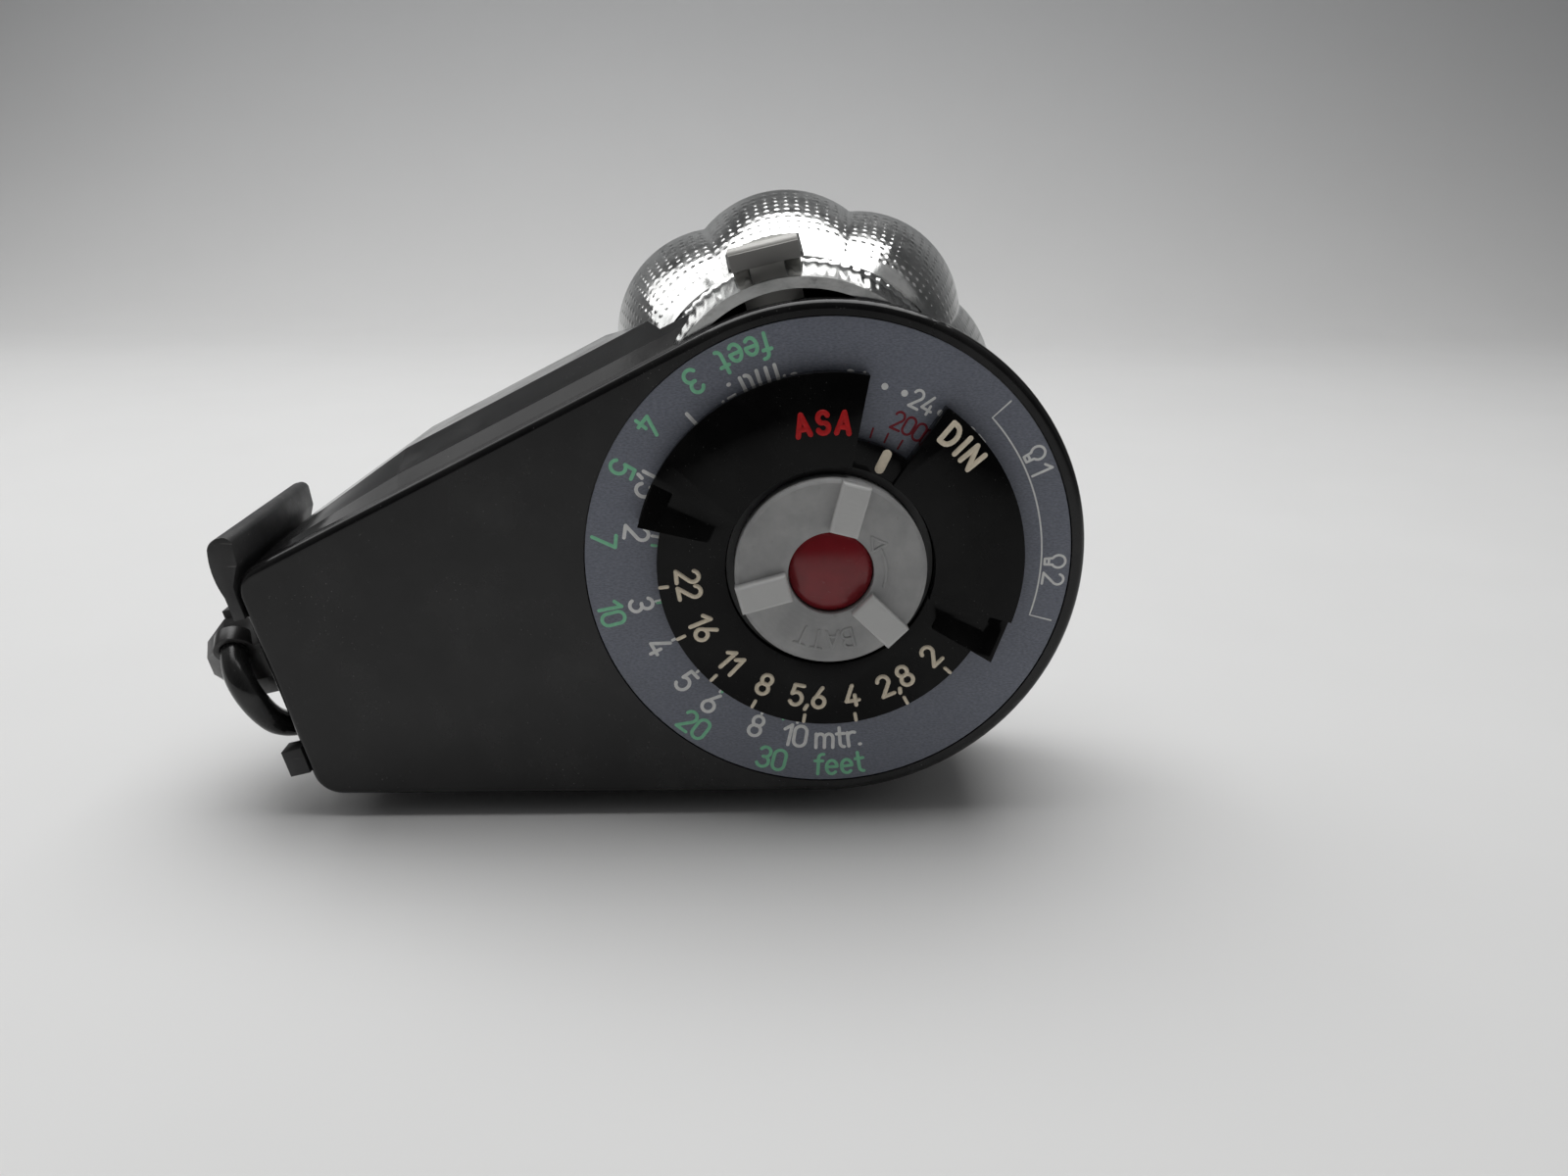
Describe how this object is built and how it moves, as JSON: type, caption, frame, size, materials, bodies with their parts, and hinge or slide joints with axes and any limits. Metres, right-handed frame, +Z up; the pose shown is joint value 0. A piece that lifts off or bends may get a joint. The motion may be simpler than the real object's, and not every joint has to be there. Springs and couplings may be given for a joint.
{
  "type": "bulb flashgun",
  "caption": "Pocket bulb flashgun with a lobed reflector, an exposure calculator dial round its battery cap, a test button and a pull-out shoe foot.",
  "frame": {"origin": "centre of the object's box on the surface that it lies on", "axes": "+X towards the round head of the case, +Y towards the flash side, away from the dial, +Z up as it lies on its lower flank"},
  "size_m": [0.0904, 0.0258, 0.0628],
  "materials": {
    "case_black": "moulded, glossy",
    "matte_black": "moulded",
    "plate_grey": "anodised blue-grey",
    "cap_grey": "moulded light grey",
    "button_red": "moulded deep red",
    "reflector_silver": "metallised plastic",
    "slider_grey": "moulded light grey",
    "steel": "plated",
    "brass": "plain",
    "nylon": "natural",
    "phenolic": "phenolic board",
    "chamber_black": "moulded",
    "battery_sleeve": "printed sleeve",
    "capacitor_sleeve": "shrink sleeve",
    "resistor_body": "lacquered",
    "cord_black": "smooth sheath",
    "wire_red": "insulation"
  },
  "bodies": {
    "case": {"rear_cover": "case_black", "front_shell": "case_black", "case_screws": "steel", "scale_plate": "plate_grey", "friction_washer": "nylon", "battery_chamber": "chamber_black", "battery": "battery_sleeve", "chamber_contact": "brass", "reflector": "reflector_silver", "bulb_socket": "phenolic", "socket_contacts": "brass", "ejector_spring": "steel", "foot_spring": "brass", "sync_plug": "matte_black", "sync_plug_sleeve": "brass", "sync_plug_pin": "brass", "cord_gland": "matte_black", "sync_cord": "cord_black", "circuit_board": "phenolic", "capacitor": "capacitor_sleeve", "resistor": "resistor_body", "hookup_wires": "wire_red"},
    "calculator": {"calculator_disc": "case_black", "disc_circlip": "steel"},
    "cap": {"battery_cap": "cap_grey", "cap_contact": "brass", "button_spring": "steel"},
    "button": {"test_button": "button_red"},
    "ejector": {"ejector_slide": "slider_grey"},
    "foot": {"shoe_foot": "matte_black"}
  },
  "joints": [
    {"name": "calculator_turn", "type": "hinge", "parent": "case", "child": "calculator", "pos_m": [0.01962, -0.0087, 0.0281], "axis": [0, -1, 0], "range_deg": [-38, 56]},
    {"name": "battery_cap_turn", "type": "hinge", "parent": "case", "child": "cap", "pos_m": [0.01962, -0.0087, 0.0281], "axis": [0, -1, 0], "range_deg": [0, 45]},
    {"name": "test_button_press", "type": "slide", "parent": "cap", "child": "button", "axis": [0, 1, 0], "range_m": [0, 0.0012], "stiffness_N_per_m": 400, "springref_m": -0.0005, "deforming": ["button_spring"]},
    {"name": "ejector_push", "type": "slide", "parent": "case", "child": "ejector", "axis": [0, -1, 0], "range_m": [0, 0.004], "stiffness_N_per_m": 200, "springref_m": -0.001, "deforming": ["ejector_spring"]},
    {"name": "foot_pull", "type": "slide", "parent": "case", "child": "foot", "axis": [-0.9718, 0, -0.236], "range_m": [0, 0.0043]}
  ]
}
